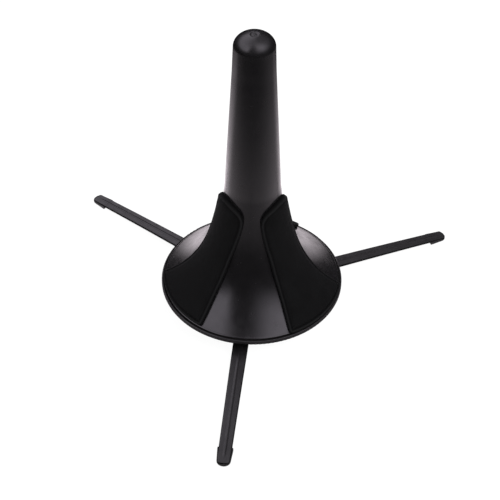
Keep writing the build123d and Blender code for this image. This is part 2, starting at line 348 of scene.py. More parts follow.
def moulded_plastic(name, color, lighter, roughness, grain_mm):
    """Satin black moulded plastic: soft mottling, rubbed patches and a fine mould grain."""
    shader = Shader(name, color, roughness)
    shader.color(shader.mix_color(shader.spread(shader.noise(14), 0.35, 0.7), color, lighter))
    rubbed = shader.noise(5, detail=5.0)
    shader.roughness(shader.spread(rubbed, 0.3, 0.7, roughness - 0.04, roughness + 0.05))
    shader.bump(shader.noise(2.6), 0.005)
    shader.bump(shader.noise(grain_mm, detail=2.0), 0.009, 0.6)
    shader.surface.inputs["IOR"].default_value = 1.49
    return shader


def cone_plastic():
    """The cone's plastic, rubbed duller on the dome by the bells that go over it."""
    black, lighter = (0.0040, 0.0037, 0.0041), (0.0054, 0.005, 0.0056)
    shader = moulded_plastic("cone_plastic", black, lighter, 0.23, 0.16)
    polish = shader.surface.inputs["Roughness"].links[0].from_socket
    neck = NECK_HEIGHT * METRES
    on_dome = shader.spread(shader.upward(shader.place), neck - 0.0025, neck + 0.0025, 1.0, 1.4)
    shader.roughness(shader.times(polish, on_dome))
    return shader.material


def base_plastic():
    """The base plate's plastic, with painted shade: reflections turned down in the joint under the
    cone and on its lower edge.
    """
    black, lighter = (0.004, 0.0037, 0.004), (0.006, 0.0055, 0.006)
    shader = moulded_plastic("base_plastic", black, lighter, 0.42, 0.22)
    rim, bottom = RIM_RADIUS * METRES, PLATE_BOTTOM * METRES
    # painted shade in the joint under the cone: almost no reflection inside the lip
    joint_shade = shader.spread(shader.from_axis(), rim - 0.0009, rim - 0.0005, 0.02, 1.0)
    # painted shade along the lower edge: reflections turned down most at the bottom
    height = shader.upward(shader.place)
    lower_edge_shade = shader.spread(height, bottom + 0.0002, bottom + 0.0008, 0.05, 0.4)
    shader.specular(shader.times(joint_shade, lower_edge_shade))
    return shader.material


def hub_plastic():
    """The hub's plastic, a little greyer and coarser."""
    black, lighter = (0.009, 0.009, 0.0095), (0.014, 0.014, 0.0145)
    return moulded_plastic("hub_plastic", black, lighter, 0.5, 0.3).material


def pad_velvet():
    """Short black pile: brushed patches, single fibres, sparse lint, a soft sheen; painted shade on
    the pad's sides and in its groove and a painted highlight along its rounded edge, both from the
    vertex attribute light.
    """
    shader = Shader("pad_velvet", (0.003, 0.003, 0.0032), 0.95)
    patches = shader.spread(shader.noise(7, detail=4.0), 0.35, 0.68)
    pile = shader.mix_color(patches, (0.0022, 0.0022, 0.0023), (0.0034, 0.0034, 0.0036))
    light = shader.node("ShaderNodeAttribute", attribute_name="light").outputs["Fac"]
    # painted shade: the pile goes nearly black where light is below 0.5, on the pad's sides and in
    # its groove
    pile_with_painted_shade = shader.mix_color(shader.spread(light, 0.0, 0.5), (0.0004, 0.0004, 0.0004), pile)
    # painted highlight: the pile goes lighter where light is above 0.5, along the pad's rounded
    # edge
    pile_with_painted_light = shader.mix_color(shader.spread(light, 0.5, 1.0), pile_with_painted_shade, (0.0066, 0.0066, 0.0069))
    lint = shader.spread(shader.cells(2.3), 0.035, 0.02)
    shader.color(shader.mix_color(lint, pile_with_painted_light, (0.03, 0.03, 0.031)))
    shader.roughness(shader.spread(patches, 0, 1, 0.9, 1.0))
    surface = shader.surface
    surface.inputs["Specular IOR Level"].default_value = 0.12
    surface.inputs["Sheen Weight"].default_value = 0.2
    surface.inputs["Sheen Roughness"].default_value = 0.35
    surface.inputs["Sheen Tint"].default_value = (0.1, 0.1, 0.105, 1)
    shader.bump(shader.noise(1.1), 0.05, 0.5)
    shader.bump(shader.noise(0.14, detail=4.0), 0.06, 0.8)
    return shader.material


def pad_foam():
    """Closed-cell foam: matt, with fine open pores."""
    shader = Shader("pad_foam", (0.005, 0.005, 0.005), 0.9)
    pores = shader.cells(0.22)
    open_pores, skin = (0.002, 0.002, 0.002), (0.008, 0.008, 0.008)
    shader.color(shader.mix_color(shader.spread(pores, 0.1, 0.5), open_pores, skin))
    shader.surface.inputs["Specular IOR Level"].default_value = 0.2
    shader.bump(pores, 0.06, 0.8)
    return shader.material


def leg_paint():
    """Black enamel on pressed steel: orange peel, rubbed edges, fine scratches, and painted shade
    on the sides and underside, where reflections are turned down.
    """
    shader = Shader("leg_paint", (0.006, 0.0056, 0.006), 0.34)
    mottled = shader.mix_color(
        shader.spread(shader.noise(9), 0.35, 0.7), (0.005, 0.0047, 0.005), (0.008, 0.0075, 0.008)
    )
    shader.color(shader.mix_color(shader.edges(0.54, 0.6), mottled, (0.009, 0.0085, 0.009)))
    # painted shade: reflections are turned down wherever the surface does not face up, on the sides
    # and underside of the strip
    shader.specular(shader.spread(shader.upward(shader.facing), 0.86, 0.975, 0.02, 0.43))
    shader.roughness(shader.spread(shader.noise(3.5, detail=5.0), 0.3, 0.7, 0.28, 0.42))
    shader.bump(shader.noise(0.8, detail=2.0), 0.01, 0.7)
    scratches = shader.noise(0.5, detail=3.0, stretch=(1, 0.04, 1))
    shader.bump(shader.spread(scratches, 0.62, 0.7), 0.003, 0.5)
    return shader.material


def foot_rubber():
    """Matt black rubber with a fine moulded texture and a trace of dust."""
    shader = Shader("foot_rubber", (0.008, 0.008, 0.008), 0.7)
    dust = shader.spread(shader.noise(1.5, detail=6.0), 0.45, 0.75)
    shader.color(shader.mix_color(dust, (0.005, 0.005, 0.005), (0.011, 0.0106, 0.0103)))
    shader.roughness(shader.spread(dust, 0, 1, 0.62, 0.8))
    shader.bump(shader.noise(0.25, detail=3.0), 0.02, 0.8)
    return shader.material


def steel(name, color, roughness, line_mm):
    """Bare or plated steel with fine drawn lines."""
    shader = Shader(name, color, roughness, metallic=1.0)
    dull = tuple(0.6 * c for c in color)
    shader.color(shader.mix_color(shader.spread(shader.noise(1.2), 0.35, 0.7), color, dull))
    lines = shader.noise(line_mm, detail=2.0, stretch=(1, 1, 0.05))
    shader.roughness(shader.spread(lines, 0.3, 0.7, roughness - 0.08, roughness + 0.12))
    shader.bump(lines, 0.004, 0.6)
    return shader.material


materials = {
    "cone_plastic": cone_plastic(),
    "base_plastic": base_plastic(),
    "hub_plastic": hub_plastic(),
    "pad_velvet": pad_velvet(),
    "pad_foam": pad_foam(),
    "leg_paint": leg_paint(),
    "foot_rubber": foot_rubber(),
    "pin_steel": steel("pin_steel", (0.5, 0.5, 0.5), 0.32, 0.1),
    "screw_steel": steel("screw_steel", (0.42, 0.42, 0.43), 0.38, 0.15),
}


# ---------------------------------------------------------------- cone
def cone_profile():
    """Closed profile from the bore's top, down the bore, round the rim and up to the dome."""
    dome_height = TOTAL_HEIGHT - NECK_HEIGHT
    bore_foot = flare_radius(PLATE_TOP) - WALL * 1.4
    points = [(0.0, TOTAL_HEIGHT - WALL - 1.0), (NECK_RADIUS - WALL - 1.5, NECK_HEIGHT + 1.5)]
    points.append((NECK_RADIUS - WALL, NECK_HEIGHT - 0.5))
    points.append((column_radius(COLUMN_TOP) - WALL, COLUMN_TOP))
    for i in range(1, 25):
        height = FLARE_TOP + (PLATE_TOP + WALL - FLARE_TOP) * (i / 24) ** 0.7
        points.append(above_flare(height, -WALL))
    points.append((bore_foot, PLATE_TOP))

    # the rim, its edge rounded over, and the flare with closer points near the rim
    rim = flare_radius(PLATE_TOP)
    points.append((rim - RIM_FLAT, PLATE_TOP))
    points += arc((rim - RIM_INSET, PLATE_TOP + RIM_ROUND), RIM_ROUND, -90, 35, 8)
    steps = 110
    start = PLATE_TOP + RIM_INSET
    for i in range(steps + 1):
        height = start + (FLARE_TOP - start) * (i / steps) ** 1.35
        points.append((flare_radius(height), height))
    for i in range(1, 31):
        height = FLARE_TOP + (COLUMN_TOP - FLARE_TOP) * i / 30
        points.append((column_radius(height), height))
    for i in range(1, 9):
        share = i / 8
        top_radius = column_radius(COLUMN_TOP)
        height = COLUMN_TOP + (NECK_HEIGHT - COLUMN_TOP) * share
        points.append((top_radius + (NECK_RADIUS - top_radius) * share, height))

    # the dome, up to the gate mark: a sunk disc with a rounded lip and a nub in its middle
    recess_angle = atan2(sqrt(1 - (GATE_RADIUS / NECK_RADIUS) ** 2), GATE_RADIUS / NECK_RADIUS)
    for i in range(1, 33):
        angle = recess_angle * i / 32
        points.append((NECK_RADIUS * cos(angle), NECK_HEIGHT + dome_height * sin(angle)))
    lip_height = points[-1][1]
    floor = TOTAL_HEIGHT - GATE_DEPTH
    points += [(GATE_RADIUS - 0.12, lip_height - 0.03), (GATE_RADIUS - 0.22, lip_height - 0.12)]
    points += [(GATE_RADIUS - 0.32, floor + 0.04), (GATE_RADIUS - 0.5, floor), (1.3, floor)]
    points += [(GATE_NUB_RADIUS + 0.2, floor), (GATE_NUB_RADIUS + 0.05, floor + 0.05)]
    points += [(GATE_NUB_RADIUS - 0.05, floor + 0.25), (GATE_NUB_RADIUS - 0.2, floor + 0.36)]
    points += [(0.25, floor + 0.38), (0.0, floor + 0.33)]
    return points


def make_cone():
    cone = lathe("cone_shell", cone_profile(), 224, materials["cone_plastic"], wobble=0.02)
    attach(cone, "stand")
    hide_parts("cone_body")


# ---------------------------------------------------------------- pads
PAD_BOTTOM = 12.9
PAD_TOP = 77.8
# half-angle of a pad's edge, in degrees, at heights from the bottom edge to the top corner
PAD_EDGE = [(12.9, 28.6), (18, 28.0), (24.5, 27.5), (33, 28.5), (44, 31.4), (54.5, 37.1)]
PAD_SHOULDER = [(61.5, 41.0), (66.8, 42.4), (70.3, 40.6), (74.0, 33.0), (76.6, 18.0), (77.8, 6.0)]
# heading of each pad's foot, and how far its top is turned to the right of it, in degrees
PAD_PLACE = {"left": (-56.8, 4.6), "right": (59.2, 4.6), "rear": (180.0, 0.0)}
# how far each pad is slipped down the flare, in millimetres
PAD_SLIP = {"left": -0.1, "right": 0.9, "rear": 0.0}
# the pads' top ends slope: their face is pulled down by this share of its height over the flare,
# fading out over a length below the top
TOP_SLOPE = 1.0
TOP_SLOPE_LENGTH = 14.0
# how many faces a pad has across and along
PAD_ACROSS = 40
PAD_ALONG = 96
BOTTOM_CORNER = 1.6
TOP_CORNER = 1.6
CORNER_STEPS = 14
# the velvet's face swells by this, reached so many faces in from its border
VELVET_CROWN = 0.12
CROWN_ALONG = 10
CROWN_ACROSS = 8

profile_heights = np.linspace(PAD_BOTTOM - 2, PAD_TOP + 4, 1600)
profile_radii = np.array([flare_radius(height) for height in profile_heights])
steps_along = np.hypot(np.diff(profile_heights), np.diff(profile_radii))
profile_lengths = np.concatenate([[0], np.cumsum(steps_along)])


def length_at(height):
    """Distance along the flare's profile from its foot to a height."""
    return np.interp(height, profile_heights, profile_lengths)


def height_at(length):
    """Height on the flare's profile at a distance along it."""
    return np.interp(length, profile_lengths, profile_heights)


def smooth_curve(points, count):
    """A Catmull-Rom curve through points, sampled evenly by parameter."""
    points = np.array(points, float)
    padded = np.vstack([2 * points[0] - points[1], points, 2 * points[-1] - points[-2]])
    spans = len(points) - 1
    found = []
    for parameter in np.linspace(0, spans, count):
        i = min(int(parameter), spans - 1)
        t = parameter - i
        a, b, c, d = padded[i : i + 4]
        square, cube = 2 * a - 5 * b + 4 * c - d, 3 * b - a - 3 * c + d
        found.append(0.5 * (2 * b + (c - a) * t + square * t**2 + cube * t**3))
    return np.array(found)


def resample(path, metric, count):
    """A path's points at even distances, where metric gives the distances between them."""
    along = np.concatenate([[0], np.cumsum(metric)])
    wanted = np.linspace(0, along[-1], count)
    return np.column_stack([np.interp(wanted, along, path[:, k]) for k in range(path.shape[1])])


def surface_distance(path):
    """Distances between neighbouring (length along profile, angle) points on the flare."""
    radii = np.array([flare_radius(height_at(length)) for length in path[:, 0]])
    middle = (radii[1:] + radii[:-1]) / 2
    return np.hypot(np.diff(path[:, 0]), middle * np.diff(path[:, 1]))


def rounded(path, corner, size):
    """Replaces the path near a corner point by a smooth curve; also gives the curve's middle."""
    along = np.concatenate([[0], np.cumsum(surface_distance(path))])
    at = along[corner]
    before = np.array([np.interp(at - size, along, path[:, k]) for k in range(2)])
    after = np.array([np.interp(at + size, along, path[:, k]) for k in range(2)])
    t = np.linspace(0, 1, CORNER_STEPS + 1)[:, None]
    curve = (1 - t) ** 2 * before + 2 * t * (1 - t) * path[corner] + t**2 * after
    kept_before = path[along < at - size]
    kept_after = path[along > at + size]
    middle = len(kept_before) + CORNER_STEPS // 2
    return np.vstack([kept_before, curve, kept_after]), middle


def pad_outline():
    """Outline of a pad from its bottom middle, as (length along the flare, angle)."""
    edge = smooth_curve(PAD_EDGE + PAD_SHOULDER, 260)
    side = np.column_stack([length_at(edge[:, 0]), np.radians(edge[:, 1])])
    bottom = np.column_stack([np.full(60, side[0, 0]), np.linspace(0, side[0, 1], 60)])
    top = np.column_stack([np.full(20, side[-1, 0]), np.linspace(side[-1, 1], 0, 20)])
    path = np.vstack([bottom[:-1], side, top[1:]])
    top_corner = len(bottom) - 1 + len(side) - 1
    path, top_middle = rounded(path, top_corner, TOP_CORNER)
    length_before = len(path)
    path, bottom_middle = rounded(path, len(bottom) - 1, BOTTOM_CORNER)
    top_middle += len(path) - length_before

    # facing sides get the same number of points, so that a grid can fill the outline
    half = PAD_ACROSS // 2
    low = path[: bottom_middle + 1]
    mid = path[bottom_middle : top_middle + 1]
    high = path[top_middle:]
    low = resample(low, surface_distance(low), half + 1)
    mid = resample(mid, surface_distance(mid), PAD_ALONG + 1)
    high = resample(high, surface_distance(high), half + 1)
    right = np.vstack([low, mid[1:], high[1:]])
    left = right[::-1].copy()
    left[:, 1] *= -1
    return np.vstack([right, left[1:-1]])


def inset(ring, distance):
    """The outline moved inward on the flare by a distance."""
    radii = np.array([flare_radius(height_at(length)) for length in ring[:, 0]])
    step = np.roll(ring, -1, axis=0) - np.roll(ring, 1, axis=0)
    along, across = step[:, 0], step[:, 1] * radii
    size = np.hypot(along, across)
    moved = ring.copy()
    moved[:, 0] += distance * across / size
    moved[:, 1] -= distance * along / size / radii
    return moved


def filled(ring):
    """A grid of (length, angle) with its border on the ring, blended inside (a Coons patch)."""
    across, along = PAD_ACROSS, PAD_ALONG
    half = across // 2
    ring = np.roll(ring, half, axis=0)
    bottom = ring[: across + 1]
    right = ring[across : across + along + 1]
    top = ring[across + along : 2 * across + along + 1][::-1]
    left = np.vstack([ring[2 * across + along :], ring[:1]])[::-1]
    grid = np.zeros((along + 1, across + 1, 2))
    for i in range(along + 1):
        v = i / along
        for j in range(across + 1):
            u = j / across
            grid[i, j] = (
                (1 - v) * bottom[j]
                + v * top[j]
                + (1 - u) * left[i]
                + u * right[i]
                - (1 - u) * (1 - v) * bottom[0]
                - u * (1 - v) * bottom[-1]
                - (1 - u) * v * top[0]
                - u * v * top[-1]
            )
    return grid


def on_flare(heading, lean, slip, length, angle, lift):
    """A point of a pad over the flare, in millimetres; the lean turns it more the higher it is."""
    top = length_at(PAD_TOP)
    length -= slip + TOP_SLOPE * lift * ease(length, top - TOP_SLOPE_LENGTH, top)
    height = float(height_at(length))
    angle += lean * (height - PAD_BOTTOM) / (PAD_TOP - PAD_BOTTOM)
    out, up = flare_normal(height)
    radius = flare_radius(height) + lift * out
    ahead, _ = outward(heading + angle)
    return Vector((ahead.x * radius, ahead.y * radius, height + lift * up))


def uneven(length, angle, seed):
    """Soft unevenness of a pad's surface, about -1 to 1."""
    return noise.noise(Vector((length / 5, angle * 8, seed)))


def border_cells(rows, columns):
    """The border of a grid as (row, column), round from its first corner."""
    cells = [(0, j) for j in range(columns)]
    cells += [(i, columns - 1) for i in range(1, rows)]
    cells += [(rows - 1, j) for j in range(columns - 2, -1, -1)]
    cells += [(i, 0) for i in range(rows - 2, 0, -1)]
    return cells


def pad_solid(name, place, rings, crown, seed, material):
    """A closed pad: rings of (inset, lift, ripple, light) from its underside, out, over and in;
    light is painted light and shade, stored as a vertex attribute.
    """
    outline = pad_outline()
    size = len(outline)
    vertices, faces, lights = [], [], []

    def add_ring(distance, lift, ripple, light):
        for length, angle in inset(outline, distance):
            shift = ripple * uneven(length, angle, seed)
            vertices.append(on_flare(*place, length, angle, lift + shift))
            lights.append(light)

    def join(first, second):
        for k in range(size):
            after = (k + 1) % size
            faces.append((first + k, first + after, second + after, second + k))

    for index, ring in enumerate(rings):
        add_ring(*ring)
        if index:
            join((index - 1) * size, index * size)

    # a grid closes the first ring below and the last one, with its crown, above
    ends = ((0, rings[0], 0.0), ((len(rings) - 1) * size, rings[-1], crown))
    for first, (distance, lift, ripple, light), rise in ends:
        grid = filled(inset(outline, distance))
        rows, columns = grid.shape[:2]
        index_at = {}
        for k, cell in enumerate(border_cells(rows, columns)):
            index_at[cell] = first + (k - PAD_ACROSS // 2) % size
        for i in range(1, rows - 1):
            for j in range(1, columns - 1):
                length, angle = grid[i, j]
                along = min(1, min(i, rows - 1 - i) / CROWN_ALONG)
                across = min(1, min(j, columns - 1 - j) / CROWN_ACROSS)
                swell = rise * along**0.7 * across**0.7
                shift = ripple * uneven(length, angle, seed)
                index_at[(i, j)] = len(vertices)
                vertices.append(on_flare(*place, length, angle, lift + swell + shift))
                lights.append(light)
        for i in range(rows - 1):
            for j in range(columns - 1):
                corners = ((i, j), (i, j + 1), (i + 1, j + 1), (i + 1, j))
                faces.append(tuple(index_at[c] for c in corners))
    pad = new_object(name, vertices, faces, material)
    # the painted light and shade of each vertex, read by the velvet's material
    pad.data.attributes.new("light", "FLOAT", "POINT").data.foreach_set("value", lights)
    return pad


# each ring from under a pad's middle, round its edge and back over it: inset, lift above the
# flare, ripple, and painted light on the pile (0 painted shade, dark, 0.5 plain, 1 painted
# highlight)
FOAM_RINGS = [
    (3.0, 0.06, 0, 0.5),
    (0.5, 0.06, 0, 0.5),
    (0.36, 0.12, 0, 0.5),
    (0.3, 0.5, 0.03, 0.5),
    (0.34, 1.3, 0.03, 0.5),
    (0.4, 1.8, 0, 0.5),
    (0.6, 1.94, 0, 0.5),
    (3.0, 1.98, 0, 0.5),
]
VELVET_RINGS = [
    (3.0, 2.06, 0, 0.0),
    (0.75, 2.02, 0, 0.0),
    (0.5, 1.86, 0, 0.0),
    (0.42, 1.4, 0, 0.0),
    (0.4, 0.5, 0, 0.0),
    (0.33, 0.4, 0, 0.0),
    (0.16, 0.38, 0.04, 0.0),
    (0.04, 0.46, 0.04, 0.0),
    (0.0, 0.75, 0.05, 0.0),
    (0.0, 1.2, 0.05, 0.1),
    (0.08, 1.65, 0.05, 0.4),
    (0.24, 2.04, 0.05, 0.8),
    (0.48, 2.3, 0.05, 1.0),
    (0.78, 2.4, 0.05, 0.9),
    (1.08, 2.34, 0.04, 0.5),
    (1.35, 2.2, 0.04, 0.25),
    (1.6, 2.12, 0.04, 0.2),
    (1.85, 2.17, 0.04, 0.3),
    (2.25, 2.34, 0.05, 0.45),
    (2.9, 2.52, 0.06, 0.5),
    (3.6, 2.6, 0.06, 0.5),
]


def make_pads():
    for seed, name in enumerate(("left", "right", "rear")):
        place = (*(radians(angle) for angle in PAD_PLACE[name]), PAD_SLIP[name])
        foam = pad_solid(
            f"pad_{name}_foam_core", place, FOAM_RINGS, 0.0, seed, materials["pad_foam"]
        )
        velvet = pad_solid(
            f"pad_{name}_cover", place, VELVET_RINGS, VELVET_CROWN, seed, materials["pad_velvet"]
        )
        smooth = velvet.modifiers.new("smooth", "SUBSURF")
        smooth.levels = 1
        smooth.render_levels = 1
        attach(foam, "stand")
        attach(velvet, "stand")
        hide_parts(f"pad_{name}_foam")
        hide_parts(f"pad_{name}_velvet")


# ---------------------------------------------------------------- legs
LEG_ROOT_HALF = 4.58
LEG_TIP_HALF = 3.35
LEG_ROOT_TOP = 6.4
LEG_ROOT_DEPTH = 1.3
LEG_TIP_TOP = 1.8
LEG_TIP_DEPTH = 1.0
LEG_BEND = 18.0
LEG_MIDDLE = 65.0
LEG_MIDDLE_TOP = 4.75
SHEET = 0.7
TIP_ROUND = 1.3
EDGE_ROUND = 0.6
BEAD_HALF = 0.8
BEAD_RISE = 0.28
BEAD_START = 24.0
BEAD_END = 118.0
# the eye curls round the pin from EYE_FROM to EYE_TO degrees, EYE_RADIUS from the pin's middle
EYE_RADIUS = 2.2
EYE_FROM = -30.0
EYE_TO = -300.0
EYE_EDGE = 0.25
ROOT_EDGE = 0.35
JOGGLE_START = 12.8
SKIRT_START = 13.5
SKIRT_FULL = 22.0


def leg_arch():
    """Centre and radius of the arc through the leg's bend, middle and tip, seen from the side."""
    (ax, ay), (bx, by), (cx, cy) = (
        (LEG_BEND, LEG_ROOT_TOP),
        (LEG_MIDDLE, LEG_MIDDLE_TOP),
        (LEG_REACH + 1, LEG_TIP_TOP),
    )
    d = 2 * (ax * (by - cy) + bx * (cy - ay) + cx * (ay - by))
    a2, b2, c2 = ax**2 + ay**2, bx**2 + by**2, cx**2 + cy**2
    x = (a2 * (by - cy) + b2 * (cy - ay) + c2 * (ay - by)) / d
    y = (a2 * (cx - bx) + b2 * (ax - cx) + c2 * (bx - ax)) / d
    return x, y, hypot(ax - x, ay - y)


arch_x, arch_y, arch_radius = leg_arch()


def leg_top(radius):
    """Height of the leg's top surface at a distance from the axis."""
    if radius <= LEG_BEND:
        return LEG_ROOT_TOP
    return arch_y + sqrt(arch_radius**2 - (radius - arch_x) ** 2)


def leg_half(radius):
    """Half the leg's width at a distance from the axis."""
    along = max(0, (radius - PIVOT_RADIUS) / (LEG_REACH - PIVOT_RADIUS))
    return LEG_ROOT_HALF + (LEG_TIP_HALF - LEG_ROOT_HALF) * along


def leg_depth(radius):
    """Depth of the leg's skirts at a distance from the axis."""
    along = max(0, (radius - LEG_BEND) / (LEG_REACH - LEG_BEND))
    return LEG_ROOT_DEPTH + (LEG_TIP_DEPTH - LEG_ROOT_DEPTH) * along


def corner_loss(past, rounding):
    """How much narrower a rounded end is, past the start of its rounding."""
    if past <= 0:
        return 0.0
    return rounding * (1 - sqrt(max(0.0, 1 - (past / rounding) ** 2)))


def strip_section(half, depth, edge, bead):
    """Closed section of the pressed strip as (across, up), with up 0 on the top face."""
    inner_half = half * (1 - SHEET / LEG_ROOT_HALF)
    inner_up = -min(SHEET, depth - 0.06)
    edge = min(edge, half * 0.5, depth * 0.6)
    outer = [(-half, -depth), (-half, -(depth + edge) / 2)]
    outer += [(-half + edge + x, -edge + y) for x, y in arc((0, 0), edge, 180, 90, 6)]
    flat = half - edge
    bead_half = min(BEAD_HALF, flat * 0.6) * 1.15
    outer += [(-flat + 0.1 * edge, 0), (-bead_half - 0.1 * edge, 0)]
    left = list(outer)
    for share in (-1.0, -0.72, -0.4, 0.0, 0.4, 0.72, 1.0):
        rise = bead * (0.5 + 0.5 * cos(pi * share)) ** 0.8
        outer.append((share * bead_half, rise))
    outer += [(-x, y) for x, y in reversed(left)]
    inner = [(inner_half, -depth), (inner_half, (inner_up - depth) / 2)]
    inner += [(inner_half * 0.93, inner_up), (inner_half * 0.4, inner_up)]
    inner.append((0.0, inner_up + bead * 0.5))
    inner += [(-x, y) for x, y in reversed(inner[:-1])]
    return outer + inner


def make_leg(name, heading, sideways):
    """The strip from its curled eye to its rounded tip."""
    ahead, across = outward(heading)
    up = Vector((0, 0, 1))
    sections = []

    def add(position, normal, half, depth, edge, bead):
        """position: (radius, height) on the top face; normal: its (radius, height) normal."""
        section = []
        for side, rise in strip_section(half, depth, edge, bead):
            x = position[0] + normal[0] * rise
            z = position[1] + normal[1] * rise
            section.append(ahead * x + across * (side + sideways) + up * z)
        sections.append(section)

    # the eye: curled round the pin from below, over the top and out to the strip
    eye_half = LEG_ROOT_HALF - 0.02
    for i in range(25):
        angle = radians(EYE_FROM + (EYE_TO - EYE_FROM) * i / 24)
        normal = (cos(angle), sin(angle))
        position = (PIVOT_RADIUS + EYE_RADIUS * normal[0], PIVOT_HEIGHT + EYE_RADIUS * normal[1])
        add(position, normal, eye_half, SHEET, EYE_EDGE, 0)

    # a Bezier curve leads from the eye's end, along its tangent, to the level root
    start, reach = position, 0.9
    bezier = [start, (start[0] + reach * normal[1], start[1] - reach * normal[0])]
    bezier += [(JOGGLE_START - 1.2, LEG_ROOT_TOP), (JOGGLE_START, LEG_ROOT_TOP)]
    for i in range(1, 9):
        t = i / 8
        weights = ((1 - t) ** 3, 3 * t * (1 - t) ** 2, 3 * t * t * (1 - t), t**3)
        slopes = ((1 - t) ** 2, 2 * t * (1 - t), t * t)
        x = sum(w * p[0] for w, p in zip(weights, bezier))
        z = sum(w * p[1] for w, p in zip(weights, bezier))
        dx = sum(w * (q[0] - p[0]) for w, p, q in zip(slopes, bezier, bezier[1:]))
        dz = sum(w * (q[1] - p[1]) for w, p, q in zip(slopes, bezier, bezier[1:]))
        size = hypot(dx, dz)
        edge = EYE_EDGE + (ROOT_EDGE - EYE_EDGE) * t
        add((x, z), (-dz / size, dx / size), eye_half, SHEET, edge, 0)

    # the strip, its skirts growing out of the flat root
    strip_end = LEG_REACH - TIP_ROUND
    stations = [JOGGLE_START + 0.5 + 0.75 * i for i in range(14)]
    stations += [BEAD_START + (strip_end - BEAD_START) * i / 90 for i in range(91)]
    for radius in stations:
        skirt = ease(radius, SKIRT_START, SKIRT_FULL)
        depth = SHEET + (leg_depth(radius) - SHEET) * skirt
        edge = ROOT_EDGE + (EDGE_ROUND - ROOT_EDGE) * skirt
        bead = ease(radius, BEAD_START, BEAD_START + 3) - ease(radius, BEAD_END - 2, BEAD_END)
        slope = (leg_top(radius + 0.05) - leg_top(radius - 0.05)) / 0.1
        size = hypot(1, slope)
        position, normal = (radius, leg_top(radius)), (-slope / size, 1 / size)
        add(position, normal, leg_half(radius), depth, edge, BEAD_RISE * bead)

    # the tip rounds off and thins a little
    for i in range(1, 11):
        angle = radians(90 * i / 10)
        radius = strip_end + TIP_ROUND * sin(angle)
        shrink = 0.12 * (1 - cos(angle))
        slope = (leg_top(radius) - leg_top(radius - 0.1)) / 0.1
        size = hypot(1, slope)
        half = leg_half(radius) - TIP_ROUND * (1 - cos(angle))
        position, normal = (radius, leg_top(radius) - shrink), (-slope / size, 1 / size)
        add(position, normal, half, LEG_TIP_DEPTH - shrink, EDGE_ROUND, 0)
    return loft(name, sections, materials["leg_paint"])


# ---------------------------------------------------------------- feet
FOOT_START_HALF = 4.1
FOOT_END_HALF = 3.6
FOOT_ROUND = 3.2
FOOT_COVER = 0.5
FOOT_TOP_EDGE = 0.35
SOLE_EDGE = 0.25
POCKET_GAP = 0.02
# the least rubber beside the strip and under it
THIN_SIDE = 0.12
THIN_SOLE = 0.2


def foot_section(half, top, pocket_half, pocket_floor):
    """Closed section of a rubber foot as (across, height): a tray with a pocket for the strip."""
    edge = min(FOOT_TOP_EDGE, half * 0.3)
    lip = max(pocket_half + THIN_SIDE / 2, half - edge)
    outer = [(-lip, top), (-half + edge * 0.3, top - edge * 0.3), (-half, top - edge)]
    outer += [(-half, SOLE_EDGE), (-half + 0.08, 0.08), (-half + SOLE_EDGE, 0.0)]
    outer += [(-half * 0.4, 0.0)]
    outer += [(-x, z) for x, z in reversed(outer)]
    pocket = [(pocket_half, top - 0.04), (pocket_half, (top + pocket_floor) / 2)]
    pocket.append((pocket_half * 0.9, pocket_floor))
    pocket += [(-x, z) for x, z in reversed(pocket)]
    return outer + pocket


def make_foot(name, heading, sideways):
    """The rubber wedge moulded under a leg's tip, flat on the floor."""
    ahead, across = outward(heading)
    up = Vector((0, 0, 1))
    sections = []
    straight = FOOT_END - FOOT_ROUND
    stations = [FOOT_START + (straight - FOOT_START) * i / 16 for i in range(17)]
    stations += [straight + FOOT_ROUND * sin(radians(90 * i / 10)) for i in range(1, 11)]
    for index, radius in enumerate(stations):
        share = (radius - FOOT_START) / (straight - FOOT_START)
        half = FOOT_START_HALF + (FOOT_END_HALF - FOOT_START_HALF) * min(1, share)
        half -= corner_loss(radius - straight, FOOT_ROUND)
        if index == 0:
            half -= THIN_SIDE
        strip_top = leg_top(min(radius, LEG_REACH))
        top = strip_top - FOOT_COVER
        strip_half = leg_half(radius) - corner_loss(radius - (LEG_REACH - TIP_ROUND), TIP_ROUND)
        pocket_half = min(strip_half + POCKET_GAP, half - THIN_SIDE)
        pocket_floor = max(THIN_SOLE, strip_top - leg_depth(radius) - POCKET_GAP)
        if radius > LEG_REACH + POCKET_GAP:
            pocket_floor = top - 0.1
        section = foot_section(half, top, pocket_half, pocket_floor)
        sections.append([ahead * radius + across * (x + sideways) + up * z for x, z in section])
    return loft(name, sections, materials["foot_rubber"])


def make_legs():
    for name, (heading, sideways) in leg_places.items():
        strip = make_leg(f"leg_{name}_strip", heading, sideways)
        foot = make_foot(f"foot_{name}_rubber", heading, sideways)
        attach(strip, f"{name}_leg")
        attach(foot, f"{name}_leg")
        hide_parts(f"leg_{name}")
        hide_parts(f"foot_{name}")


# ---------------------------------------------------------------- CAD nodes that stay
KEPT_NODES = {
    "base_plate": "base_plastic",
    "base_screws": "screw_steel",
    "hub_body": "hub_plastic",
    "hub_plate": "hub_plastic",
    "hub_screws": "screw_steel",
    "hub_ring": "foot_rubber",
    "hinge_pin_front": "pin_steel",
    "hinge_pin_left": "pin_steel",
    "hinge_pin_right": "pin_steel",
}


def finish_kept_nodes():
    for node, material in KEPT_NODES.items():
        for material_slot in frame["nodes"][node].material_slots:
            material_slot.material = materials[material]


# ---------------------------------------------------------------- studio
# Where the floor's reflected light changes, in metres. It fades from POOL_START and ends softly.
POOL_START = 0.070
POOL_FADE = 0.080
POOL_ENDS = (0.18, 0.235)
POOL_BEHIND = (0.035, 0.1)
# POOL_UNDER is where the painted shadow under the stand gives way to the pool
POOL_UNDER = (0.052, 0.08)


def direction(azimuth, elevation):
    """Unit vector towards angles in degrees; azimuth 0 is the front."""
    a, e = radians(azimuth), radians(elevation)
    return Vector((sin(a) * cos(e), -cos(a) * cos(e), sin(e)))


